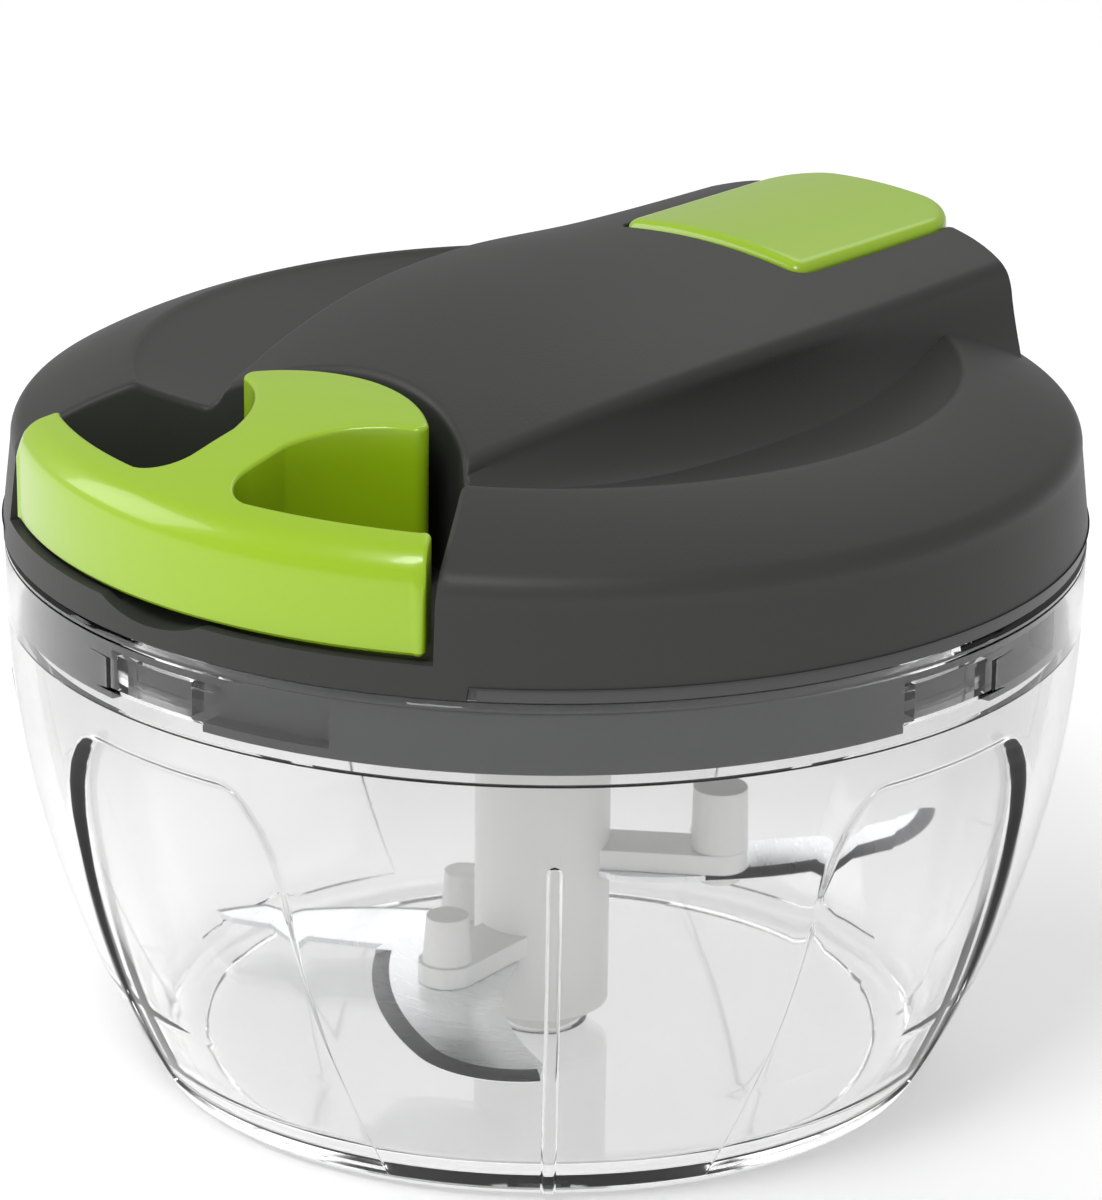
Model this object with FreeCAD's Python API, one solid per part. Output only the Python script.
import FreeCAD, Part
import math
import os

# Pull-string food chopper: clear bowl, domed lid with a cord-driven mechanism, and a three-blade hub.
# Millimetres, +Z up. The origin is the centre of the bowl's foot, on the table. The pull handle is at the
# front, towards -Y, and the lock button is at the rear. An azimuth is counted from the front towards +X.

V = FreeCAD.Vector

# Bowl
rim_radius = 62.3            # outside of the bowl's rim
rim_height = 65.1            # top of the rim above the table
straight_height = rim_height - 5.1  # the side is upright above this height
side_arc = 115.0             # radius of the side's bulge below it
bowl_wall = 2.6
rim_wall = 1.5               # the wall is thinner above the ledge
ledge_height = rim_height - 9.7
floor_height = 2.6           # inside floor above the table
floor_corner = 7.0           # radius between the floor and the wall
foot_width = 4.0
foot_hollow = 1.0            # the underside stands this far off the table inside the foot
foot_inset = 0.8
edge_break = 0.5             # small chamfer on the rim
lug_count = 4
lug_width = 11.4
lug_height = 4.0
lug_depth = 2.3              # how far a lug reaches inwards
lug_below_rim = 4.9          # lug centre below the rim
lug_recess = 0.4             # oblong dimple outside each lug
lug_recess_width = 13.0
panel_depth = 0.7            # recessed finger panels
panel_top = rim_height - 13.3
panel_flat = 8.0             # half-width of a panel's straight top
panel_shoulder_half = 15.0
panel_shoulder_height = rim_height - 20.6
panel_bottom_half = 17.6
panel_bottom = 2.2
rib_width = 1.7              # four thin ribs between the panels
rib_proud = 0.5
rib_top = rim_height - 18.6
seat_radius = 5.2            # raised seat under the blade hub
seat_height = 0.2
pin_radius = 2.5             # steel centre pin
pin_top = 15.0
pin_root = 1.6               # the pin starts this high, inside the floor

# Fits
running = 0.05               # radial clearance of a shaft in its hole
snug = 0.03                  # radial clearance of a part fixed in its hole
rest_gap = 0.05              # between flat faces that rest on each other
easy = 0.3                   # clearance between parts that pass each other
weld = 0.5                   # how deep two solids of one moulding run into each other

# Lid base: skirt, flange and plate
skirt_wall = 3.5
skirt_bottom = rim_height - 8.3
channel_side = 1.2           # a channel is this much wider than the lug on each side
lid_turn = 15.0              # degrees from open to locked
flange_gap = 0.3             # between the rim and the flange
flange_thick = 1.3
flange_radius = rim_radius - 0.1
apron_flange_radius = rim_radius - 0.4  # the flange is narrower behind the cover's apron
plate_bottom = rim_height - 6.6
plate_thick = 2.0
spigot_radius = rim_radius - 2.6
spigot_wall = 1.8
spigot_height = 1.8
seal_width = 0.55
seal_inset = 0.1             # the seal's inner edge is this far outside the rim's inner edge
seal_height = 0.8
seal_clearance = 0.1
screw_circle = rim_radius - 12.3
screw_azimuth = 45.0
screw_count = 4
screw_radius = 1.3
screw_head_radius = 2.8
screw_head_height = 1.3
screw_length = 10.0
screw_slot_half = 0.35
screw_slot_reach = 2.2
screw_slot_depth = 0.5
cover_boss_radius = 3.4
base_boss_radius = 4.3
base_boss_top = rim_height - 1.1
base_boss_seat = rim_height - 4.1
bush_boss_radius = 9.5
bush_boss_top = rim_height - 4.1

# Lid cover
cover_radius = rim_radius + 0.2
cover_wall = 2.0
cover_bottom = rim_height + 0.25
cover_step = 1.4             # the cover's edge is this much higher outside the front apron
apron_half_angle = 36.2
apron_lip = 0.5              # wall of the apron's lowest part, outside the flange
side_top_radius = cover_radius - 1.2
side_top_height = rim_height + 10.9
shoulder_mid_radius = cover_radius - 1.55
shoulder_mid_height = rim_height + 12.65
shoulder_radius = cover_radius - 2.9
shoulder_height = rim_height + 14.0
land_mid_radius = cover_radius - 8.6
land_mid_height = rim_height + 16.9
land_edge_radius = cover_radius - 14.6
land_edge_height = rim_height + 19.15
well_lip_radius = cover_radius - 15.6
well_lip_height = rim_height + 18.9
well_mid_radius = cover_radius - 24.5
well_mid_height = rim_height + 15.9
well_foot_radius = 29.0
well_foot_height = rim_height + 14.7

# Bridge: the raised spine from the pocket to the rear
spine_stations = [           # Y, half-width and height of the creases, rise of the crown above them
    (-46.0, 15.6, rim_height + 15.4, 2.6),
    (-33.0, 19.2, rim_height + 18.5, 2.8),
    (-20.0, 22.6, rim_height + 21.35, 2.9),
    (-6.0, 25.2, rim_height + 23.5, 3.1),
    (10.0, 26.2, rim_height + 24.6, 3.2),
    (30.0, 24.7, rim_height + 24.4, 3.45),
    (cover_radius - 0.2, 23.4, rim_height + 24.9, 4.2),
]
bridge_foot_half = 30.5
bridge_foot_height = rim_height + 14.5
bridge_side_sag = 1.3        # how hollow the sides are
crease_round = 1.3
bridge_end_axis_y = 18.0     # the rear end is round about an upright axis here
bridge_end_foot_radius = cover_radius - 19.8
bridge_end_foot = rim_height + 3.9
bridge_end_low_radius = cover_radius - 19.3
bridge_end_low = rim_height + 12.9
bridge_end_high_radius = cover_radius - 19.5
bridge_end_high = rim_height + 21.6
bridge_end_mid_radius = cover_radius - 20.7
bridge_end_mid = rim_height + 24.8
bridge_end_top_radius = cover_radius - 24.0
bridge_end_top = rim_height + 27.1
bridge_end_slope = 0.22
above_cover = rim_height + 34.0  # level clear above the whole lid

# Pocket for the pull handle; its rear end stands off the drum's flange
spool_flange_radius = 20.2
arch_half = 26.0             # half-width where the arch goes over into the flared sides
arch_off_spool = 6.2
arch_apex_y = -spool_flange_radius - arch_off_spool
arch_end_y = 22.1 - cover_radius
flare_mid_x = 29.9
flare_mid_y = 16.5 - cover_radius
flare_end_x = 34.6
flare_end_y = 8.9 - cover_radius
flare_normal = (0.84, 0.54)
pocket_floor = rim_height + 3.2
pocket_floor_thick = 1.5
pocket_wall = 1.8
lip_top = rim_height + 3.9
lip_inner_radius = cover_radius - 1.9
scallop_radius = 21.0
scallop_bottom = rim_height + 2.4
scallop_inner_y = 5.5 - cover_radius
pocket_run_out = 6.0         # the cut runs on this far outside the cover
rail_x = 3.2                 # two low rails on the pocket floor under the handle
rail_half = 0.7
rail_front_y = 10.5 - cover_radius
rail_rear_y = 22.0 - cover_radius

# Pull handle
handle_bottom = rim_height + 4.5
handle_front_radius = cover_radius - 1.2
handle_half = 32.4
handle_end_x = 29.6
handle_end_y = 14.3 - cover_radius
handle_inner_y = 6.3 - cover_radius
stem_half = 4.2
stem_fillet = 4.6
head_front_x = 13.4
head_front_y = arch_apex_y - 8.4
head_side_x = 14.1
head_side_y = arch_apex_y - 7.4
head_rear_x = head_front_x + 0.2
head_rear_y = arch_apex_y - 6.3
head_apex_y = arch_apex_y - 1.5
stem_head_y = (handle_inner_y + head_front_y) / 2 + 0.2
head_neck_x = 6.9
head_neck_y = (stem_head_y + head_front_y) / 2 + 0.45
handle_top_front = rim_height + 15.2
handle_top_mid_radius = cover_radius - 17.5
handle_top_mid = rim_height + 20.1
handle_top_rear_radius = cover_radius - 37.5
handle_top_rear = rim_height + 22.8
handle_round = 2.6
anchor_bore_radius = 3.5
anchor_bore_y = arch_apex_y - 9.6
anchor_roof = 2.6            # bore's top above the cord
cord_hole_radius = 1.3
plug_thick = 2.5
plug_stem_radius = 2.2
plug_gap = 0.3

# Cord and ferrule
cord_radius = 0.9
cord_height = rim_height + 15.2  # level at which the cord leaves the lid
cord_corner_y = arch_apex_y + 3.2
cord_bend = 3.0
lead_end_y = arch_apex_y - 1.0
tail_end_y = anchor_bore_y - 1.6
ferrule_radius = 2.2
ferrule_length = 4.4
ferrule_rear_y = anchor_bore_y + 2.1

# Spool, its axle and its spring
drum_radius = 14.5
drum_gap = 0.15              # between the drum and the wound cord
drum_turns = 3.35
drum_pitch = 2.05
level_out = 60.0             # degrees over which the last turn levels out
run_steps = 5
spool_bottom = rim_height + 6.1
spool_flange = 1.2
spool_top = rim_height + 17.7
spool_floor = 1.8
spring_chamber_radius = 12.8
neck_radius = 5.0
neck_flat = 4.2              # half-width over the neck's two flats
neck_bottom = rim_height + 1.5
axle_radius = 2.5
axle_bottom = rim_height - 0.0
axle_top = rim_height + 24.3
axle_boss_radius = 5.5
axle_boss_bottom = rim_height + 19.3
clip_bottom = rim_height + 0.3
clip_radius = 4.4
clip_thick = 0.8
clip_groove_radius = 1.9
clip_mouth = 2.6
cap_radius = 14.2
cap_thick = 1.0
spring_turns = 8
spring_pitch = 0.9
spring_strip = 0.35
spring_bottom = rim_height + 8.4
spring_height = 7.5
spring_inner_radius = 4.4
eyelet_radius = 2.5
eyelet_bore = 1.4
eyelet_flange_radius = 3.5
eyelet_flange = 0.6
eyelet_stand = 0.25          # the outer flange clears the curved wall by this much

# One-way clutch and drive
cup_radius = 17.0
cup_inner = 15.0
cup_bottom = rim_height - 3.5
cup_floor = 2.8
cup_height = 7.4
tooth_count = 12
tooth_depth = 1.3
pawl_bottom = rim_height + 0.1
pawl_thick = 3.2
pawl_hub_radius = 8.2
pawl_count = 3
pawl_tip_radius = 14.0
pawl_mid_radius = 11.3
pawl_width = 1.6
pawl_lag = 2.0               # azimuths along an arm, from the tooth it pushes
pawl_mid = 45.0
pawl_root_in = 74.0
pawl_root_out = 88.0
clip_recess_radius = 4.8
shaft_radius = 4.0
shaft_top = rim_height - 1.7
drive_flat = 2.9             # half-width over the flats that carry the cup
dog_core_radius = 3.9
dog_radius = 5.8
dog_width = 2.2
dog_count = 3
dog_bottom = rim_height - 14.7
dog_top = rim_height - 7.6
dog_collar = 0.8
bush_radius = 6.4
bush_top = rim_height - 3.8
bush_flange_radius = 8.4
bush_flange_bottom = rim_height - 7.35
bush_flange = 0.7
centre_screw_radius = 1.25
centre_screw_head = 5.0
centre_screw_length = 9.0

# Blade hub and blades
hub_radius = 8.0
hub_foot_radius = 4.5
hub_foot_top = 5.4
hub_top = rim_height - 8.9
socket_radius = 6.2
socket_depth = 6.8
socket_rib_width = 1.6
socket_rib_inner = 4.3
arm_width = 6.8
arm_thick = 2.4
arm_reach = 18.2             # hub axis to the pegs of the lower two blades
upper_reach = 21.0
arm_reaches = (arm_reach, arm_reach, upper_reach)
arm_azimuths = (-105.0, 7.0, 127.0)
blade_levels = (6.0, 12.9, 22.4)
peg_heights = (5.5, 5.5, 7.5)
blade_thick = 0.7
blade_bevel = 2.0
blade_edge = 0.12            # thickness left at the cutting edge
peg_radius = 1.5
peg_foot_radii = (2.9, 2.9, 3.4)
peg_top_radii = (2.45, 2.45, 3.2)
peg_head_radius = 2.6
peg_head = 0.8
blade_reach = rim_radius - 17.0  # hub axis to the tip of the lower blade
plan_reach = 45.3            # the same in the plans below
blade_nose_azimuth = 7.0     # the plans below are drawn for an arm at this azimuth
lower_plan = [
    (-2.5, -6.0),
    (-6.6, -9.8),
    ((-8.2, -14.8), (-5.6, -21.2)),
    ((6.6, -29.4), (18.9, -33.6)),
    ((24.2, -34.8), (29.2, -34.7)),
    (28.2, -30.6),
    ((22.3, -25.3), (11.4, -17.1)),
    ((7.8, -13.6), (5.2, -9.5)),
    (2.5, -6.0),
]
middle_plan = [
    (-2.5, -6.0),
    (-7.6, -9.6),
    ((-10.0, -13.6), (-9.8, -18.1)),
    ((1.5, -28.4), (14.5, -34.6)),
    ((22.9, -34.0), (28.4, -29.6)),
    (26.4, -27.0),
    ((18.4, -23.4), (12.6, -19.4)),
    ((8.0, -14.2), (5.2, -9.5)),
    (2.5, -6.0),
]
upper_plan = [
    (-2.5, -6.0),
    (-3.6, -9.6),
    ((-3.0, -14.4), (-1.0, -20.0)),
    ((5.6, -32.4), (13.0, -40.0)),
    ((19.6, -42.9), (26.6, -43.2)),
    (25.4, -41.8),
    ((20.2, -38.4), (15.9, -33.4)),
    ((10.4, -21.6), (5.2, -9.5)),
    (2.5, -6.0),
]
blade_plans = (lower_plan, middle_plan, upper_plan)

# Lock button, its hinge pin, the lock slider and its spring
button_half = 14.0
button_front_y = 27.3
button_rear_y = cover_radius - 4.1
button_corner = 7.5
button_front_corner = 1.6
button_side_front = rim_height + 27.2
button_mid_front = rim_height + 28.5
button_side_rear = rim_height + 27.9
button_mid_rear = rim_height + 29.2
button_underside = rim_height + 24.3
button_wall = 1.6
button_skirt_bottom = rim_height + 20.5
button_gap = 0.6
button_round = 1.1
tray_floor = rim_height + 17.9
tray_wall = 1.5
hinge_y = 30.0
hinge_z = rim_height + 22.3
hinge_pin_radius = 1.0
hinge_pin_half = 15.6
barrel_radius = 2.1
lock_azimuth = 187.5
lock_circle = rim_radius - 3.4
lock_radius = 0.9
lock_tip = rim_height - 2.3
slider_circle = lock_circle - 5.9
slider_radius = 1.9
slider_head_radius = 2.8
slider_head = 1.0
slider_gap = 0.2             # between the slider and the button
slider_foot_bottom = rim_height + 5.1
slider_foot_thick = 2.0
slider_foot_half = 1.9
slider_notch = 4.0           # half-angle of the spigot's gap for the slider's foot
guide_bottom = rim_height + 10.9
coil_wire = 0.3
coil_radius = 2.4
coil_turns = 3
coil_ends = 0.55


def polar(radius, azimuth, z=0.0):
    """Point at a radius and an azimuth from the front."""
    a = math.radians(azimuth)
    return V(radius * math.sin(a), -radius * math.cos(a), z)


def outline(points, place):
    """Closed wire through points; a pair of points is an arc through the first to the second."""
    edges = []
    here = points[0]
    for step in points[1:] + [points[0]]:
        if isinstance(step[0], tuple):
            mid, end = step
            edges.append(Part.Arc(place(here), place(mid), place(end)).toShape())
        else:
            end = step
            if math.dist(here, end) > 1e-6:
                edges.append(Part.LineSegment(place(here), place(end)).toShape())
        here = end
    return Part.Wire(edges)


def revolved(points):
    """Solid of revolution about Z of an outline given as (radius, height)."""
    wire = outline(points, lambda p: V(p[0], 0, p[1]))
    return Part.Face(wire).revolve(V(0, 0, 0), V(0, 0, 1), 360)


def upright(points, z0, z1):
    """Prism between two heights of an outline given as (x, y)."""
    wire = outline(points, lambda p: V(p[0], p[1], z0))
    return Part.Face(wire).extrude(V(0, 0, z1 - z0))


def facing(points, y0, y1):
    """Prism along Y of an outline given as (x, z)."""
    wire = outline(points, lambda p: V(p[0], y0, p[1]))
    return Part.Face(wire).extrude(V(0, y1 - y0, 0))


def disc(radius, z0, z1, x=0.0, y=0.0):
    """Upright cylinder."""
    return Part.makeCylinder(radius, z1 - z0, V(x, y, z0))


def ring(inner, outer, z0, z1):
    """Upright tube."""
    return disc(outer, z0, z1).cut(disc(inner, z0 - 1, z1 + 1))


def block(x0, x1, y0, y1, z0, z1):
    """Box between two corners."""
    return Part.makeBox(x1 - x0, y1 - y0, z1 - z0, V(x0, y0, z0))


def wedge(half_angle, centre, z0, z1, reach=90.0):
    """Pie slice about Z, half_angle each side of an azimuth; half_angle is under 90 degrees."""
    left = polar(reach, centre - half_angle)
    middle = polar(reach, centre)
    right = polar(reach, centre + half_angle)
    points = [(0.0, 0.0), (left.x, left.y), ((middle.x, middle.y), (right.x, right.y))]
    return upright(points, z0, z1)


def turned(shape, azimuth):
    """Copy of a shape built at the front, turned about Z to an azimuth."""
    copy = shape.copy()
    copy.rotate(V(0, 0, 0), V(0, 0, 1), azimuth)
    return copy


def joined(shapes):
    """Union of several shapes, with split faces merged."""
    return shapes[0].multiFuse(shapes[1:]).removeSplitter()


def save(name, shape):
    """Writes one sub-part and prints its solids, validity and volume."""
    shape.exportStep("parts/" + name + ".step")
    print(name, len(shape.Solids), shape.isValid(), round(shape.Volume, 1))


def side_radius(z, inset=0.0):
    """Radius of the bowl's side at a height, or of a surface inset from it."""
    drop = max(straight_height - z, 0.0)
    return rim_radius - side_arc + math.sqrt((side_arc - inset) ** 2 - drop ** 2)


lug_middle = rim_height - lug_below_rim
rim_inner = rim_radius - rim_wall
lug_inner = rim_inner - lug_depth
skirt_radius = rim_inner - easy
skirt_inner = skirt_radius - skirt_wall
flange_bottom = rim_height + flange_gap
flange_top = flange_bottom + flange_thick
plate_top = plate_bottom + plate_thick
seal_inner = rim_inner + seal_inset
seal_outer = seal_inner + seal_width
floor_underside = pocket_floor - pocket_floor_thick
hub_bottom = floor_height + seat_height + rest_gap
seal_bottom = rim_height + rest_gap
cord_track = drum_radius + drum_gap + cord_radius


def side_skin(outside, inside, low, high):
    """Layer over the bowl's side, from outside it to inside it, between two heights."""
    middle = (low + high) / 2
    return revolved([
        (side_radius(low, inside), low),
        (side_radius(low, -outside), low),
        ((side_radius(middle, -outside), middle), (side_radius(high, -outside), high)),
        (side_radius(high, inside), high),
        ((side_radius(middle, inside), middle), (side_radius(low, inside), low)),
    ])


def bowl_outside():
    """Outer form of the bowl, filled."""
    foot = side_radius(0.0) - foot_inset
    low = foot_inset
    middle = (straight_height + low) / 2
    return revolved([
        (0.0, foot_hollow),
        (foot - foot_width, foot_hollow),
        (foot - foot_width, 0.0),
        (foot, 0.0),
        (side_radius(low), low),
        ((side_radius(middle), middle), (rim_radius, straight_height)),
        (rim_radius, rim_height - edge_break),
        (rim_radius - edge_break, rim_height),
        (0.0, rim_height),
    ])


def bowl_inside():
    """Hollow of the bowl: floor, rounded corner, side and the wider space above the ledge."""
    centre_r = rim_radius - side_arc
    inner_arc = side_arc - bowl_wall
    corner_z = floor_height + floor_corner
    corner_r = centre_r + math.sqrt((inner_arc - floor_corner) ** 2 - (straight_height - corner_z) ** 2)
    out_r = (corner_r - centre_r) / (inner_arc - floor_corner)
    out_z = (corner_z - straight_height) / (inner_arc - floor_corner)
    touch = (centre_r + out_r * inner_arc, straight_height + out_z * inner_arc)
    half = math.hypot(out_r, out_z - 1.0)
    corner_mid = (corner_r + floor_corner * out_r / half, corner_z + floor_corner * (out_z - 1.0) / half)
    middle = (touch[1] + ledge_height) / 2
    return revolved([
        (0.0, floor_height),
        (corner_r, floor_height),
        (corner_mid, touch),
        ((side_radius(middle, bowl_wall), middle), (side_radius(ledge_height, bowl_wall), ledge_height)),
        (rim_inner, ledge_height),
        (rim_inner, rim_height + 1.0),
        (0.0, rim_height + 1.0),
    ])


def finger_panel():
    """Shallow recess with rounded top corners in the front of the bowl's side."""
    face = facing([
        (-panel_bottom_half, panel_bottom),
        (-panel_shoulder_half, panel_shoulder_height),
        ((-panel_shoulder_half * 0.86, panel_top - 2.0), (-panel_flat, panel_top)),
        (panel_flat, panel_top),
        ((panel_shoulder_half * 0.86, panel_top - 2.0), (panel_shoulder_half, panel_shoulder_height)),
        (panel_bottom_half, panel_bottom),
    ], -rim_radius - 5, -20.0)
    return face.common(side_skin(2.0, panel_depth, panel_bottom, panel_top + 1.0))


def side_rib():
    """Thin upright rib with a rounded top on the front of the bowl's side."""
    half = rib_width / 2
    low = foot_inset
    face = facing([
        (-half, low),
        (-half, rib_top - half),
        ((0.0, rib_top), (half, rib_top - half)),
        (half, low),
    ], -rim_radius - 5, -20.0)
    return face.common(side_skin(rib_proud, 1.0, low, rib_top + 1.0))


def lug():
    """Bayonet lug inside the front of the rim."""
    half = math.degrees(lug_width / 2 / lug_inner)
    low = lug_middle - lug_height / 2
    body = ring(lug_inner, rim_inner + rim_wall / 2, low, low + lug_height)
    return body.common(wedge(half, 0.0, low, low + lug_height))


def oblong(width, height, middle, y0, y1):
    """Prism along Y of an oblong with round ends, centred at x 0 and a height."""
    r = height / 2
    x = width / 2 - r
    return facing([
        (-x, middle - r),
        (x, middle - r),
        ((x + r, middle), (x, middle + r)),
        (-x, middle + r),
        ((-x - r, middle), (-x, middle - r)),
    ], y0, y1)


def bowl():
    """Clear bowl with foot, ledge, lugs, finger panels and ribs."""
    shape = bowl_outside().cut(bowl_inside())
    shape = shape.fuse(disc(seat_radius, floor_height - 0.5, floor_height + seat_height))
    step = 360.0 / lug_count
    dimple = oblong(lug_recess_width, lug_height, lug_middle, -rim_radius - 2, -rim_radius + lug_recess)
    dimple = dimple.cut(disc(rim_radius - lug_recess, lug_middle - lug_height, lug_middle + lug_height))
    for i in range(lug_count):
        shape = shape.fuse(turned(lug(), i * step))
        shape = shape.cut(turned(dimple, i * step))
        shape = shape.cut(turned(finger_panel(), i * step))
        shape = shape.fuse(turned(side_rib(), i * step + step / 2))
    return shape.cut(disc(pin_radius, pin_root, floor_height + seat_height + 1)).removeSplitter()


def bowl_pin():
    """Steel pin moulded into the bowl's floor, with a domed top."""
    body = disc(pin_radius, pin_root, pin_top)
    return body.makeChamfer(0.6, [e for e in body.Edges if abs(e.CenterOfMass.z - pin_top) < 0.01])



def rod(radius, y0, y1, x, z):
    """Cylinder along Y."""
    return Part.makeCylinder(radius, y1 - y0, V(x, y0, z), V(0, 1, 0))


def around(shape, count, start=0.0):
    """Copies of a shape built at the front, evenly spaced about Z."""
    return [turned(shape, start + i * 360.0 / count) for i in range(count)]


def lug_path():
    """Way of one lug through the skirt: an upright channel, then the run to the locked place."""
    low = lug_middle - lug_height / 2 - easy
    high = lug_middle + lug_height / 2 + easy
    half = math.degrees((lug_width / 2 + channel_side) / lug_inner)
    tube = ring(lug_inner - easy, skirt_radius + 1, skirt_bottom - 1, high)
    channel = tube.common(wedge(half, 0.0, skirt_bottom - 1, high))
    run = tube.common(wedge(half + lid_turn / 2, lid_turn / 2, low, high))
    return channel.fuse(run)


def screw_places():
    """Azimuths of the screws that hold the cover to the base."""
    return [screw_azimuth + i * 360.0 / screw_count for i in range(screw_count)]


def lid_base():
    """Base of the lid: skirt with the lug paths, flange with the seal groove, plate, spigot and bosses."""
    flange = ring(skirt_inner, flange_radius, flange_bottom, flange_top)
    behind_apron = ring(apron_flange_radius, flange_radius + 1, flange_bottom - 1, flange_top + 1)
    front = wedge(apron_half_angle + 1, 0.0, flange_bottom - 1, flange_top + 1)
    flange = flange.cut(behind_apron.common(front))
    spigot = ring(spigot_radius - spigot_wall, spigot_radius, flange_top - weld, flange_top + spigot_height)
    spigot = spigot.cut(wedge(apron_half_angle + 5, 0.0, flange_top, flange_top + spigot_height + 1))
    spigot = spigot.cut(wedge(slider_notch, lock_azimuth, flange_top, flange_top + spigot_height + 1))
    shape = joined([
        ring(skirt_inner, skirt_radius, skirt_bottom, flange_bottom + weld),
        flange,
        spigot,
        disc(skirt_inner + weld, plate_bottom, plate_top),
        disc(bush_boss_radius, plate_bottom, bush_boss_top),
    ])
    for path in around(lug_path(), lug_count):
        shape = shape.cut(path)
    for azimuth in screw_places():
        c = polar(screw_circle, azimuth)
        shape = shape.fuse(disc(base_boss_radius, plate_bottom, base_boss_top, c.x, c.y))
        shape = shape.cut(disc(screw_head_radius + easy, plate_bottom - 1, base_boss_seat, c.x, c.y))
        shape = shape.cut(disc(screw_radius + easy, plate_bottom, base_boss_top + 1, c.x, c.y))
    groove_top = seal_bottom + seal_height + rest_gap
    groove = ring(seal_inner - seal_clearance, seal_outer + seal_clearance, flange_bottom - 1, groove_top)
    shape = shape.cut(groove)
    hole = polar(lock_circle, lock_azimuth)
    shape = shape.cut(disc(lock_radius + easy, plate_top, flange_top + 1, hole.x, hole.y))
    return shape.cut(disc(bush_radius + snug, plate_bottom - 1, bush_boss_top + 1)).removeSplitter()


def seal_ring():
    """Ring between the bowl's rim and the flange."""
    return ring(seal_inner, seal_outer, seal_bottom, seal_bottom + seal_height)


def lid_screw(azimuth):
    """Screw from below, through the base into a boss of the cover."""
    c = polar(screw_circle, azimuth)
    head = disc(screw_head_radius, base_boss_seat - screw_head_height, base_boss_seat, c.x, c.y)
    slot = block(c.x - screw_slot_half, c.x + screw_slot_half, c.y - screw_slot_reach, c.y + screw_slot_reach,
                 base_boss_seat - screw_head_height, base_boss_seat - screw_head_height + screw_slot_depth)
    shank = disc(screw_radius, base_boss_seat - weld, base_boss_seat + screw_length, c.x, c.y)
    return head.cut(slot).fuse(shank).removeSplitter()


def dome_form(inset):
    """Dome of the lid without its spine, filled, with every surface moved inwards by an inset."""
    def at(radius, height, outwards, upwards):
        return (radius - inset * outwards, height - inset * upwards)
    bottom = cover_bottom - inset
    return revolved([
        (0.0, bottom),
        (cover_radius - inset, bottom),
        at(side_top_radius, side_top_height, 1.0, 0.1),
        (at(shoulder_mid_radius, shoulder_mid_height, 0.9, 0.45),
         at(shoulder_radius, shoulder_height, 0.6, 0.8)),
        (at(land_mid_radius, land_mid_height, 0.4, 0.92), at(land_edge_radius, land_edge_height, 0.1, 1.0)),
        at(well_lip_radius, well_lip_height, -0.1, 1.0),
        (at(well_mid_radius, well_mid_height, -0.3, 0.95), at(well_foot_radius, well_foot_height, 0.0, 1.0)),
        (0.0, well_foot_height - inset),
    ])


def spine_section(y, half_width, crease, rise, low, inset):
    """Section of the spine across Y: crown, rounded creases, hollow sides."""
    half = half_width - inset
    top = crease - inset
    crown = top + rise
    edge = half - crease_round
    edge_z = crown - rise * (edge / half) ** 2
    side = (half + crease_round / 4, top - crease_round)
    foot = (bridge_foot_half - inset, bridge_foot_height)
    run = math.hypot(foot[0] - side[0], foot[1] - side[1])
    across = ((foot[1] - side[1]) / run, (side[0] - foot[0]) / run)
    sag = ((side[0] + foot[0]) / 2 + bridge_side_sag * across[0],
           (side[1] + foot[1]) / 2 + bridge_side_sag * across[1])
    turn = (half - crease_round / 8, top - crease_round / 5)
    return outline([
        (-foot[0], low),
        (-foot[0], foot[1]),
        ((-sag[0], sag[1]), (-side[0], side[1])),
        ((-turn[0], turn[1]), (-edge, edge_z)),
        ((0.0, crown), (edge, edge_z)),
        (turn, side),
        (sag, foot),
        (foot[0], low),
    ], lambda p: V(p[0], y, p[1]))


def spine_form(inset):
    """Spine from behind the pocket to its rounded rear end, filled, moved inwards by an inset."""
    low = bridge_end_foot - inset
    spine = Part.makeLoft([spine_section(*station, low, inset) for station in spine_stations], True)
    flat = bridge_end_top_radius / 2
    end = revolved([
        (0.0, low),
        (bridge_end_foot_radius - inset, low),
        (bridge_end_low_radius - inset, bridge_end_low),
        (bridge_end_high_radius - inset, bridge_end_high - inset / 2),
        ((bridge_end_mid_radius - inset * 0.8, bridge_end_mid - inset * 0.6),
         (bridge_end_top_radius - inset / 4, bridge_end_top - inset)),
        (flat, bridge_end_top - inset + bridge_end_slope * flat),
        (0.0, bridge_end_top + bridge_end_slope * bridge_end_top_radius),
    ])
    end.translate(V(0, bridge_end_axis_y, 0))
    ahead = block(-cover_radius, cover_radius, -cover_radius, bridge_end_axis_y, low, above_cover)
    return spine.common(end.fuse(ahead))


def cover_form(inset):
    """Whole outer form of the cover, filled, moved inwards by an inset."""
    return dome_form(inset).fuse(spine_form(inset)).removeSplitter()


def pocket_plan(grow):
    """Plan of the pocket: an arch at the rear and flared sides to the front, grown outwards."""
    arch_radius = (arch_half ** 2 + (arch_apex_y - arch_end_y) ** 2) / (2 * (arch_apex_y - arch_end_y))
    centre = arch_apex_y - arch_radius
    wide = (arch_radius + grow) / arch_radius
    arch_end = (arch_half * wide, centre + (arch_end_y - centre) * wide)
    flare_mid = (flare_mid_x + flare_normal[0] * grow, flare_mid_y + flare_normal[1] * grow)
    flare_end = (flare_end_x + flare_normal[0] * grow, flare_end_y + flare_normal[1] * grow)
    outside = (flare_end[0] + pocket_run_out, flare_end[1] - pocket_run_out)
    front = -cover_radius - pocket_run_out
    return [
        (-outside[0], front),
        (-outside[0], outside[1]),
        (-flare_end[0], flare_end[1]),
        ((-flare_mid[0], flare_mid[1]), (-arch_end[0], arch_end[1])),
        ((0.0, arch_apex_y + grow), arch_end),
        (flare_mid, flare_end),
        outside,
        (outside[0], front),
    ]


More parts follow.
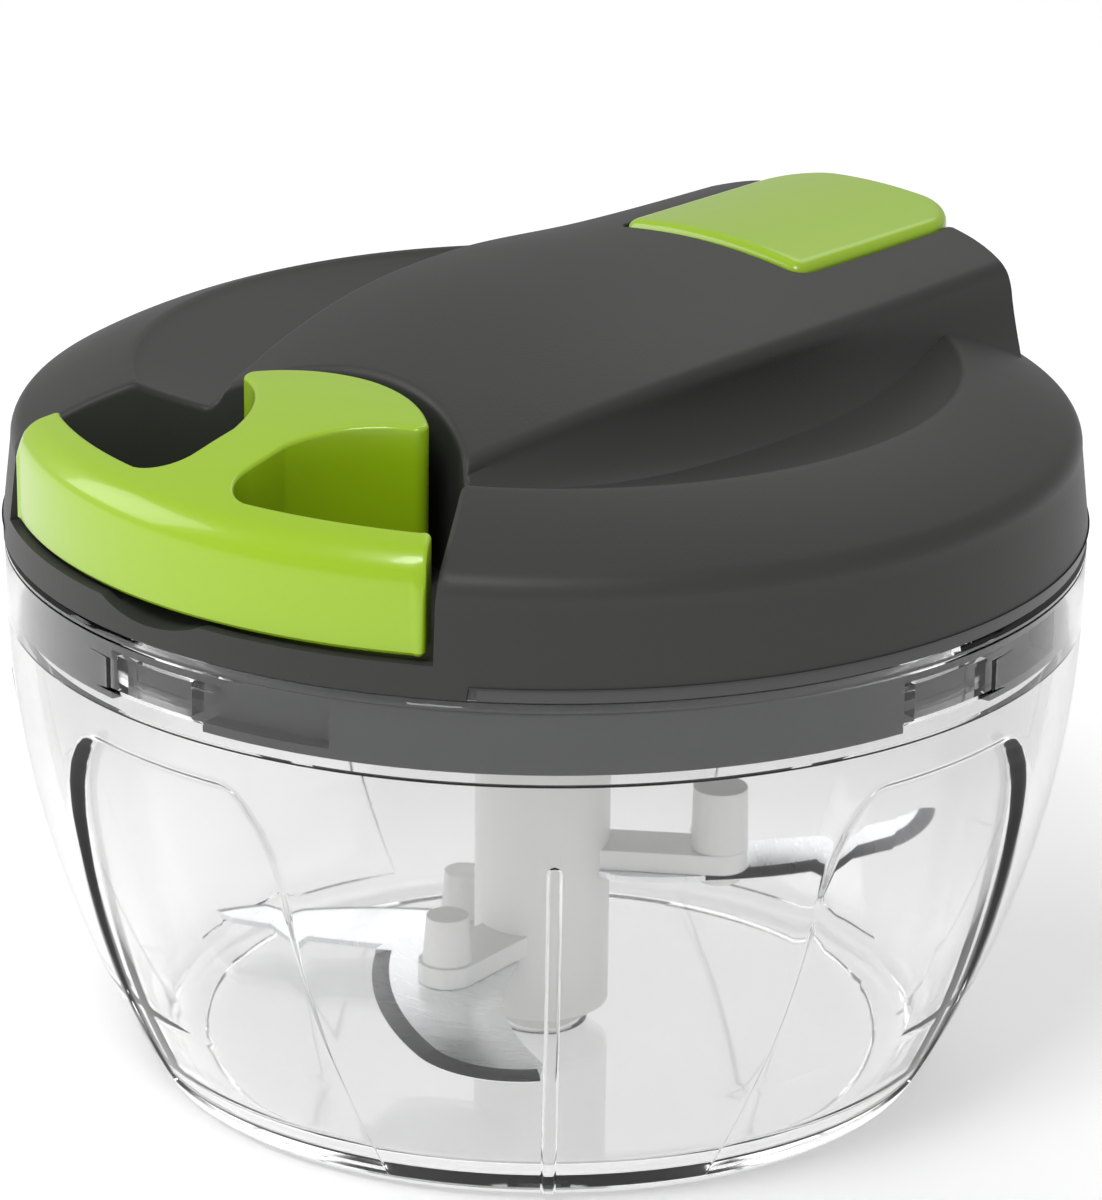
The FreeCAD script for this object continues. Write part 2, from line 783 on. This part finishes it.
def pocket():
    """Hollow for the pull handle, open upwards and over the front lip."""
    deep = upright(pocket_plan(0.0), pocket_floor, above_cover)
    deep = deep.common(disc(lip_inner_radius, pocket_floor, above_cover))
    over_lip = upright(pocket_plan(0.0), lip_top, above_cover)
    scallop = rod(scallop_radius, -cover_radius - 1, scallop_inner_y, 0.0, scallop_bottom + scallop_radius)
    return deep.fuse(over_lip).fuse(scallop)


def button_plan(grow):
    """Plan of the lock button: straight sides, small front corners, large rear corners."""
    half = button_half + grow
    front = button_front_y - grow
    rear = button_rear_y + grow
    small = button_front_corner + max(grow, 0.0)
    large = button_corner + grow
    k = 1 - math.sqrt(0.5)
    return [
        (-half + small, front),
        (half - small, front),
        ((half - small * k, front + small * k), (half, front + small)),
        (half, rear - large),
        ((half - large * k, rear - large * k), (half - large, rear)),
        (-half + large, rear),
        ((-half + large * k, rear - large * k), (-half, rear - large)),
        (-half, front + small),
        ((-half + small * k, front + small * k), (-half + small, front)),
    ]


def lid_cover():
    """Domed cover: shell with spine, pocket for the handle, tray for the button, and bosses inside."""
    top = above_cover
    walls = upright(pocket_plan(pocket_wall), floor_underside, top)
    tray = upright(button_plan(button_gap + tray_wall), tray_floor - tray_wall, top)
    shape = cover_form(0.0).cut(cover_form(cover_wall).cut(walls).cut(tray))
    within = cover_form(cover_wall / 2)
    boss_bottom = base_boss_top + easy
    for azimuth in screw_places():
        c = polar(screw_circle, azimuth)
        shape = shape.fuse(disc(cover_boss_radius, boss_bottom, top, c.x, c.y).common(within))
        screw_end = base_boss_seat + screw_length + easy
        shape = shape.cut(disc(screw_radius + snug, boss_bottom - 1, screw_end, c.x, c.y))
    shape = shape.fuse(disc(axle_boss_radius, axle_boss_bottom, top).common(within))
    shape = shape.cut(disc(axle_radius + snug, axle_boss_bottom - 1, axle_top))
    slider = polar(slider_circle, lock_azimuth)
    guide = disc(slider_radius + tray_wall, guide_bottom, tray_floor - weld, slider.x, slider.y)
    shape = shape.fuse(guide.common(within))
    shape = shape.cut(pocket()).cut(upright(button_plan(button_gap), tray_floor, top))
    for x in (-rail_x, rail_x):
        rail = block(x - rail_half, x + rail_half, rail_front_y, rail_rear_y, pocket_floor - weld,
                     handle_bottom - rest_gap)
        shape = shape.fuse(rail)
    shape = shape.cut(disc(slider_radius + running, guide_bottom - 1, tray_floor + 1, slider.x, slider.y))
    pin_start = V(-hinge_pin_half, hinge_y, hinge_z)
    pin_hole = Part.makeCylinder(hinge_pin_radius + snug, 2 * hinge_pin_half, pin_start, V(1, 0, 0))
    shape = shape.cut(pin_hole)
    behind_wall = arch_apex_y + pocket_wall + 1
    shape = shape.cut(rod(eyelet_radius + snug, arch_apex_y - 1, behind_wall, 0.0, cord_height))
    step_top = cover_bottom + cover_step
    step = ring(spigot_radius, cover_radius + 1, cover_bottom - 1, step_top)
    step = step.cut(wedge(apron_half_angle, 0.0, cover_bottom - 1, step_top))
    shape = shape.cut(step).cut(disc(cover_radius - apron_lip, cover_bottom - 1, step_top + rest_gap))
    return shape.removeSplitter()


def handle_plan():
    """Plan of the pull handle: curved bar, stem and arched head, like an anchor."""
    rise = handle_end_y - handle_inner_y
    inner_arc = (handle_end_x ** 2 + rise ** 2) / (2 * rise)

    def inner_y(x):
        return handle_inner_y + inner_arc - math.sqrt(inner_arc ** 2 - x ** 2)
    corner_y = -math.sqrt(handle_front_radius ** 2 - handle_half ** 2)
    foot_x = stem_half + stem_fillet
    foot_y = inner_y(foot_x)
    k = stem_fillet * (1 - math.sqrt(0.5))
    middle_x = (foot_x + handle_end_x) / 2
    right = [
        (handle_half, corner_y),
        (handle_end_x, handle_end_y),
        ((middle_x, inner_y(middle_x)), (foot_x, foot_y)),
        ((stem_half + k, foot_y + k), (stem_half, foot_y + stem_fillet)),
        (stem_half, stem_head_y),
        ((head_neck_x, head_neck_y), (head_front_x, head_front_y)),
        ((head_side_x, head_side_y), (head_rear_x, head_rear_y)),
    ]
    left = [
        ((0.0, head_apex_y), (-head_rear_x, head_rear_y)),
        ((-head_side_x, head_side_y), (-head_front_x, head_front_y)),
        ((-head_neck_x, head_neck_y), (-stem_half, stem_head_y)),
        (-stem_half, foot_y + stem_fillet),
        ((-stem_half - k, foot_y + k), (-foot_x, foot_y)),
        ((-middle_x, inner_y(middle_x)), (-handle_end_x, handle_end_y)),
        (-handle_half, corner_y),
    ]
    return [(-handle_half, corner_y), ((0.0, -handle_front_radius), right[0])] + right[1:] + left[:-1]


def handle_dome():
    """Filled form of revolution whose top is the handle's upper surface."""
    brim = handle_front_radius + 2
    return revolved([
        (0.0, handle_bottom - 1),
        (brim, handle_bottom - 1),
        (brim, handle_top_front - 1),
        (handle_front_radius, handle_top_front),
        ((handle_top_mid_radius, handle_top_mid), (handle_top_rear_radius, handle_top_rear)),
        (0.0, handle_top_rear),
    ])


def pull_handle():
    """Green pull handle with a rounded upper front edge and the bore for the cord's end."""
    shape = upright(handle_plan(), handle_bottom, handle_top_rear + 1).common(handle_dome())
    edges = [e for e in shape.Edges if e.BoundBox.ZMin > handle_bottom + 1
             and e.BoundBox.XLength > 2 * handle_half - 1 and e.BoundBox.YMin < handle_inner_y - 1]
    shape = shape.makeFillet(handle_round, edges)
    bore_top = cord_height + anchor_roof
    shape = shape.cut(disc(anchor_bore_radius, handle_bottom - 1, bore_top, 0.0, anchor_bore_y))
    return shape.cut(rod(cord_hole_radius, anchor_bore_y, head_apex_y + 1, 0.0, cord_height))


def vertical(edge):
    """True for an upright straight edge."""
    box = edge.BoundBox
    return box.XLength < 0.01 and box.YLength < 0.01


def handle_plug():
    """Plug that closes the handle's bore and keeps the ferrule up."""
    plate = disc(anchor_bore_radius - snug, handle_bottom, handle_bottom + plug_thick, 0.0, anchor_bore_y)
    top = cord_height - ferrule_radius - plug_gap
    return plate.fuse(disc(plug_stem_radius, handle_bottom, top, 0.0, anchor_bore_y)).removeSplitter()


def cord_ferrule():
    """Crimped sleeve on the cord's end."""
    body = rod(ferrule_radius, ferrule_rear_y - ferrule_length, ferrule_rear_y, 0.0, cord_height)
    return body.cut(rod(cord_radius + snug, tail_end_y, ferrule_rear_y + 1, 0.0, cord_height))


def cord_tail():
    """Cord from outside the eyelet to the ferrule in the handle."""
    return rod(cord_radius, tail_end_y, lead_end_y - rest_gap, 0.0, cord_height)


def cord_eyelet():
    """Flanged ring that lines the cord's hole in the pocket's end wall."""
    rear = arch_apex_y + pocket_wall
    front = arch_apex_y - eyelet_stand
    tube = rod(eyelet_radius, front - eyelet_flange, rear + eyelet_flange, 0.0, cord_height)
    outer = rod(eyelet_flange_radius, front - eyelet_flange, front, 0.0, cord_height)
    inner = rod(eyelet_flange_radius, rear + snug, rear + snug + eyelet_flange, 0.0, cord_height)
    bore = rod(eyelet_bore, front - 5, rear + 5, 0.0, cord_height)
    return joined([tube, outer, inner]).cut(bore)


def cord_leave():
    """Azimuth at which the cord leaves the drum, so that its straight run meets the corner at the eyelet."""
    return math.degrees(math.acos(cord_track / -cord_corner_y))


def winding():
    """Centre line of the cord on the drum: even turns that level out, then the first of the straight run."""
    leave = cord_leave()
    steps = round(drum_turns * 24)
    points = []
    for i in range(steps + 1):
        back = drum_turns * 360.0 * (1 - i / steps)
        climb = back - level_out / 2 if back > level_out else back ** 2 / (2 * level_out)
        points.append(polar(cord_track, leave + back, cord_height - drum_pitch * climb / 360.0))
    run = V(0, cord_corner_y, cord_height) - points[-1]
    off = points[-1]
    points += [off + run * (k / run_steps) for k in range(1, run_steps - 1)]
    curve = Part.BSplineCurve()
    curve.interpolate(points)
    return curve.toShape(), points[-1]


def pull_cord():
    """Cord wound on the drum, its straight run to the eyelet and the bend through it."""
    wound, start = winding()
    corner = V(0, cord_corner_y, cord_height)
    along = (corner - start).normalize()
    out = V(0, -1, 0)
    turn = along.getAngle(out)
    reach = cord_bend * math.tan(turn / 2)
    bend_in = corner - along * reach
    bend_out = corner + out * reach
    inwards = (out - along).normalize()
    bend_centre = corner + inwards * (cord_bend / math.cos(turn / 2))
    bend_mid = bend_centre - inwards * cord_bend
    end = V(0, lead_end_y, cord_height)
    spine = Part.Wire([
        wound,
        Part.LineSegment(start, bend_in).toShape(),
        Part.Arc(bend_in, bend_mid, bend_out).toShape(),
        Part.LineSegment(bend_out, end).toShape(),
    ])
    section = Part.Wire(Part.makeCircle(cord_radius, end, out))
    shape = Part.Wire(spine.Edges).makePipeShell([section], True, True)
    length = spine.Length + lead_end_y - tail_end_y
    print("cord radius", cord_radius, "drum radius", cord_track, "cord length", round(length, 1))
    print("least gap of the cord to itself", round(drum_pitch * (1 - level_out / 720.0) - 2 * cord_radius, 3))
    return shape


def spool():
    """Drum for the cord with two flanges, a chamber for the spring and a neck for the pawl disc."""
    bore = axle_radius + running
    shape = revolved([
        (bore, neck_bottom),
        (neck_radius, neck_bottom),
        (neck_radius, spool_bottom),
        (spool_flange_radius, spool_bottom),
        (spool_flange_radius, spool_bottom + spool_flange),
        (drum_radius, spool_bottom + spool_flange),
        (drum_radius, spool_top - spool_flange),
        (spool_flange_radius, spool_top - spool_flange),
        (spool_flange_radius, spool_top),
        (spring_chamber_radius, spool_top),
        (spring_chamber_radius, spool_bottom + spool_floor),
        (bore, spool_bottom + spool_floor),
    ])
    for side in (-1, 1):
        x = side * (neck_flat + neck_radius)
        shape = shape.cut(block(x - neck_radius, x + neck_radius, -neck_radius, neck_radius,
                                neck_bottom - 1, pawl_bottom + pawl_thick + easy))
    return shape


def spring_cap():
    """Cover disc over the spring chamber."""
    return ring(axle_radius + easy, cap_radius, spool_top + rest_gap, spool_top + rest_gap + cap_thick)


def spiral_edge(offset):
    """Half-turn arcs of the spring's strip, moved out by an offset, as (mid, end) pairs after a start."""
    start = (spring_inner_radius + offset, 0.0)
    arcs = []
    for k in range(2 * spring_turns):
        radius = spring_inner_radius + k * spring_pitch / 2 + offset
        centre = 0.0 if k % 2 == 0 else spring_pitch / 2
        side = 1 if k % 2 == 0 else -1
        arcs.append(((centre, side * radius), (centre - side * radius, 0.0)))
    return start, arcs


def recoil_spring():
    """Spiral strip spring that winds the cord back, hooked to the axle."""
    start, outer = spiral_edge(spring_strip / 2)
    inner_start, inner = spiral_edge(-spring_strip / 2)
    ends = [inner_start] + [arc[1] for arc in inner]
    back = [ends[-1]]
    for k in range(len(inner) - 1, -1, -1):
        back.append((inner[k][0], ends[k]))
    top = spring_bottom + spring_height
    strip = upright([start] + outer + back, spring_bottom, top)
    hook_end = spring_inner_radius + spring_strip / 2
    hook = block(axle_radius + snug, hook_end, -spring_strip, 0.0, spring_bottom, top)
    return strip.fuse(hook).removeSplitter()


def spool_axle():
    """Steel axle, fixed in the cover, with a groove for the clip."""
    shape = disc(axle_radius, axle_bottom, axle_top)
    groove_top = clip_bottom + clip_thick + rest_gap
    groove = ring(clip_groove_radius, axle_radius + 1, clip_bottom - rest_gap, groove_top)
    return shape.cut(groove)


def axle_clip():
    """Open clip that keeps the spool on its axle."""
    shape = ring(clip_groove_radius + snug, clip_radius, clip_bottom, clip_bottom + clip_thick)
    return shape.cut(block(-clip_mouth / 2, clip_mouth / 2, 0.0, clip_radius + 1, clip_bottom - 1,
                           clip_bottom + clip_thick + 1))


def pawl_disc():
    """Disc on the spool's neck with springy arms that push the cup's teeth one way."""
    top = pawl_bottom + pawl_thick
    shape = disc(pawl_hub_radius, pawl_bottom, top)
    arm = [polar(pawl_hub_radius - weld, pawl_root_out), polar(pawl_mid_radius, pawl_mid),
           polar(pawl_tip_radius, pawl_lag), polar(pawl_tip_radius - pawl_width, pawl_lag),
           polar(pawl_mid_radius - pawl_width + easy, pawl_mid),
           polar(pawl_hub_radius - 2 * weld, pawl_root_in)]
    flat = [(p.x, p.y) for p in arm]
    blade = upright([flat[0], (flat[1], flat[2]), flat[3], (flat[4], flat[5])], pawl_bottom, top)
    shape = joined([shape] + around(blade, pawl_count))
    keyed = disc(neck_radius + snug, pawl_bottom - 1, top + 1)
    keyed = keyed.common(block(-neck_flat - snug, neck_flat + snug, -neck_radius - 1, neck_radius + 1,
                               pawl_bottom - 1, top + 1))
    return shape.cut(keyed).cut(disc(clip_recess_radius, pawl_bottom - 1, neck_bottom))


def ratchet_cup():
    """Cup with saw teeth inside, clamped on the drive shaft."""
    top = cup_bottom + cup_height
    floor_top = cup_bottom + cup_floor
    teeth = []
    for i in range(tooth_count):
        at = i * 360.0 / tooth_count
        teeth.append(polar(cup_inner, at))
        teeth.append(polar(cup_inner - tooth_depth, at + 360.0 / tooth_count))
    hollow = upright([(p.x, p.y) for p in teeth], floor_top, top + 1)
    shape = disc(cup_radius, cup_bottom, top).cut(hollow)
    keyed = disc(shaft_radius + snug, cup_bottom - 1, shaft_top)
    keyed = keyed.common(block(-drive_flat - snug, drive_flat + snug, -shaft_radius - 1, shaft_radius + 1,
                               cup_bottom - 1, shaft_top))
    return shape.cut(keyed).cut(disc(centre_screw_head + easy, shaft_top - rest_gap, floor_top + 1))


def coupler_screw():
    """Screw that clamps the cup on the shaft."""
    head_top = cup_bottom + cup_floor - rest_gap
    head = disc(centre_screw_head, shaft_top, head_top)
    head = head.cut(block(-screw_slot_half, screw_slot_half, -screw_slot_reach, screw_slot_reach,
                          head_top - screw_slot_depth, head_top + 1))
    return head.fuse(disc(centre_screw_radius, shaft_top - centre_screw_length, shaft_top)).removeSplitter()


def bearing_bush():
    """Flanged bush for the drive shaft in the base's centre boss."""
    bore = shaft_radius + running
    top = bush_flange_bottom + bush_flange
    return revolved([
        (bore, bush_flange_bottom),
        (bush_flange_radius, bush_flange_bottom),
        (bush_flange_radius, top),
        (bush_radius, top),
        (bush_radius, bush_top),
        (bore, bush_top),
    ])


def drive_coupler():
    """Shaft through the lid with fins below that drive the blade hub."""
    fin = block(-dog_width / 2, dog_width / 2, -dog_radius, 0.0, dog_bottom, dog_top)
    fin = fin.common(disc(dog_radius, dog_bottom, dog_top))
    shaft = disc(shaft_radius, dog_top - weld, shaft_top)
    end = block(-drive_flat, drive_flat, -shaft_radius, shaft_radius, cup_bottom, shaft_top + 1)
    shaft = shaft.cut(disc(shaft_radius + 1, cup_bottom, shaft_top + 1).cut(end))
    shape = joined([disc(dog_core_radius, dog_bottom, dog_top), shaft,
                    disc(dog_radius, dog_top - dog_collar, dog_top)] + around(fin, dog_count))
    return shape.cut(disc(centre_screw_radius + snug, shaft_top - centre_screw_length - easy, shaft_top + 1))


def arm_top(i):
    """Height of the top of an arm."""
    return blade_levels[i] + blade_thick + rest_gap + arm_thick


def blade_hub():
    """White column on the centre pin with a socket for the drive fins and three stub arms over the blades."""
    shape = revolved([
        (0.0, hub_bottom),
        (hub_foot_radius, hub_bottom),
        (hub_radius, hub_foot_top),
        (hub_radius, hub_top),
        (0.0, hub_top),
    ])
    for i, azimuth in enumerate(arm_azimuths):
        low = blade_levels[i] + blade_thick + rest_gap
        reach = arm_reaches[i]
        arm = block(-arm_width / 2, arm_width / 2, -reach, 0.0, low, arm_top(i))
        arm = arm.fuse(disc(arm_width / 2, low, arm_top(i), 0.0, -reach))
        arm = arm.cut(disc(peg_radius + snug, low - 1, arm_top(i) + 1, 0.0, -reach))
        shape = shape.fuse(turned(arm, azimuth))
    shape = shape.cut(disc(pin_radius + running, hub_bottom - 1, pin_top + easy))
    socket = disc(socket_radius, hub_top - socket_depth, hub_top + 1)
    rib = block(-socket_rib_width / 2, socket_rib_width / 2, -socket_radius - 1, -socket_rib_inner,
                hub_top - socket_depth, hub_top + 1)
    for place in around(rib, dog_count, 180.0 / dog_count):
        socket = socket.cut(place)
    shape = shape.cut(socket)
    return shape.cut(disc(hub_radius + 2 * peg_head_radius, hub_top, hub_top + 2)).removeSplitter()


def circle_through(a, b, c):
    """Centre and radius of the circle through three points of a plan."""
    arc = Part.Arc(V(a[0], a[1], 0), V(b[0], b[1], 0), V(c[0], c[1], 0)).toShape().Curve
    return arc.Center, arc.Radius


def ground_edge(a, b, c, level):
    """Ring piece that grinds the bevel along the arc through three points of a blade's plan."""
    centre, radius = circle_through(a, b, c)
    top = level + blade_thick
    slope = (blade_thick - blade_edge) / blade_bevel
    over = 1.0
    start = math.atan2(a[1] - centre.y, a[0] - centre.x)
    sweep = math.degrees(math.atan2(c[1] - centre.y, c[0] - centre.x) - start) % 360.0

    def at(r, z):
        return V(centre.x + r * math.cos(start), centre.y + r * math.sin(start), z)
    corners = [at(radius - blade_bevel, top), at(radius + over, top - slope * (blade_bevel + over)),
               at(radius + over, top + over), at(radius - blade_bevel, top + over)]
    face = Part.Face(Part.makePolygon(corners + corners[:1]))
    return face.revolve(V(centre.x, centre.y, 0), V(0, 0, 1), sweep)


def spread(plan):
    """Plan of a blade drawn out from the hub's axis, so that its tip keeps its distance from the bowl."""
    def drawn(p):
        if isinstance(p[0], tuple):
            return (drawn(p[0]), drawn(p[1]))
        return (p[0] * blade_reach / plan_reach, p[1] * blade_reach / plan_reach)
    return [drawn(p) for p in plan]


def blade(i):
    """Sickle blade whose outer edge is ground; its root lies against the hub under an arm."""
    level = blade_levels[i]
    plan = spread(blade_plans[i])
    shape = upright(plan, level, level + blade_thick)
    shape = shape.cut(ground_edge(plan[2][1], plan[3][0], plan[3][1], level))
    shape = shape.cut(ground_edge(plan[3][1], plan[4][0], plan[4][1], level))
    hole = polar(arm_reaches[i], blade_nose_azimuth)
    shape = shape.cut(disc(peg_radius + snug, level - 1, level + blade_thick + 1, hole.x, hole.y))
    shape = shape.cut(disc(hub_radius + snug, level - 1, level + blade_thick + 1))
    return turned(shape, arm_azimuths[i] - blade_nose_azimuth)


def blade_peg(i):
    """Tapered peg on an arm, with a shank through the arm and the blade and a head below."""
    level = blade_levels[i]
    c = polar(arm_reaches[i], arm_azimuths[i])
    top = arm_top(i)
    post = Part.makeCone(peg_foot_radii[i], peg_top_radii[i], peg_heights[i], V(c.x, c.y, top + rest_gap))
    shank = disc(peg_radius, level - peg_head, top + weld, c.x, c.y)
    head = disc(peg_head_radius, level - rest_gap - peg_head, level - rest_gap, c.x, c.y)
    return joined([post, shank, head])


def button_top(y, side, middle):
    """Section of the button's domed top across Y."""
    half = button_half + 1
    return outline([
        (-half, button_skirt_bottom - 1),
        (half, button_skirt_bottom - 1),
        (half, side),
        ((0.0, middle), (-half, side)),
    ], lambda p: V(p[0], y, p[1]))


def lock_button():
    """Green rocking button: domed plate with a skirt and a barrel on the hinge pin."""
    dome = Part.makeLoft([
        button_top(button_front_y - 1, button_side_front, button_mid_front),
        button_top(button_rear_y + 1, button_side_rear, button_mid_rear),
    ], True, True)
    shape = upright(button_plan(0.0), button_skirt_bottom, button_mid_rear + 1).common(dome)
    edges = [e for e in shape.Edges if e.BoundBox.ZMin > button_underside + 1 and not vertical(e)]
    shape = shape.makeFillet(button_round, edges)
    shape = shape.cut(upright(button_plan(-button_wall), button_skirt_bottom - 1, button_underside))
    reach = button_half - button_wall / 2
    barrel = Part.makeCylinder(barrel_radius, 2 * reach, V(-reach, hinge_y, hinge_z), V(1, 0, 0))
    bore_start = V(-hinge_pin_half, hinge_y, hinge_z)
    bore = Part.makeCylinder(hinge_pin_radius + running, 2 * hinge_pin_half, bore_start, V(1, 0, 0))
    return shape.fuse(barrel).cut(bore).removeSplitter()


def button_pin():
    """Hinge pin of the button, held in the tray's side walls."""
    start = V(-hinge_pin_half, hinge_y, hinge_z)
    return Part.makeCylinder(hinge_pin_radius, 2 * hinge_pin_half, start, V(1, 0, 0))


def lock_pin():
    """Slider under the button: head, stem, foot and the pin that drops between the lugs' places."""
    stem = polar(slider_circle, lock_azimuth)
    pin = polar(lock_circle, lock_azimuth)
    head_top = button_underside - slider_gap
    foot_top = slider_foot_bottom + slider_foot_thick
    foot = block(-slider_foot_half, slider_foot_half, -lock_circle - lock_radius / 2, -slider_circle,
                 slider_foot_bottom, foot_top)
    return joined([
        disc(slider_head_radius, head_top - slider_head, head_top, stem.x, stem.y),
        disc(slider_radius, slider_foot_bottom, head_top - slider_head, stem.x, stem.y),
        turned(foot, lock_azimuth),
        disc(lock_radius, lock_tip, slider_foot_bottom, pin.x, pin.y),
    ])


def button_spring():
    """Coil spring round the slider's stem, between the tray's floor and the slider's head."""
    stem = polar(slider_circle, lock_azimuth)
    low = tray_floor + coil_wire
    high = button_underside - slider_gap - slider_head - coil_wire
    rise = (high - low - coil_ends * 2) / coil_turns
    helix = Part.makeHelix(rise, high - low - coil_ends * 2, coil_radius)
    helix.translate(V(stem.x, stem.y, low + coil_ends))
    start = V(stem.x + coil_radius, stem.y, low + coil_ends)
    section = Part.Wire(Part.makeCircle(coil_wire, start, V(0, 1, 0)))
    body = Part.Wire(helix.Edges).makePipeShell([section], True, True)
    seats = [ring(coil_radius - coil_wire, coil_radius + coil_wire, z, z + 2 * coil_wire)
             for z in (tray_floor + rest_gap, high - coil_wire)]
    for seat in seats:
        seat.translate(V(stem.x, stem.y, 0))
    return body.fuse(seats[0]).fuse(seats[1])


os.makedirs("parts", exist_ok=True)
save("bowl", bowl())
save("bowl_pin", bowl_pin())
save("lid_base", lid_base())
save("seal_ring", seal_ring())
for number, place in enumerate(screw_places()):
    save("lid_screw_" + str(number + 1), lid_screw(place))
save("lid_cover", lid_cover())
save("pull_handle", pull_handle())
save("handle_plug", handle_plug())
save("cord_ferrule", cord_ferrule())
save("cord_tail", cord_tail())
save("cord_eyelet", cord_eyelet())
save("pull_cord", pull_cord())
save("spool", spool())
save("spring_cap", spring_cap())
save("recoil_spring", recoil_spring())
save("spool_axle", spool_axle())
save("axle_clip", axle_clip())
save("pawl_disc", pawl_disc())
save("ratchet_cup", ratchet_cup())
save("coupler_screw", coupler_screw())
save("bearing_bush", bearing_bush())
save("drive_coupler", drive_coupler())
save("blade_hub", blade_hub())
for number, place in enumerate(("lower", "middle", "upper")):
    save("blade_" + place, blade(number))
    save("blade_peg_" + place, blade_peg(number))
save("lock_button", lock_button())
save("button_pin", button_pin())
save("lock_pin", lock_pin())
save("button_spring", button_spring())
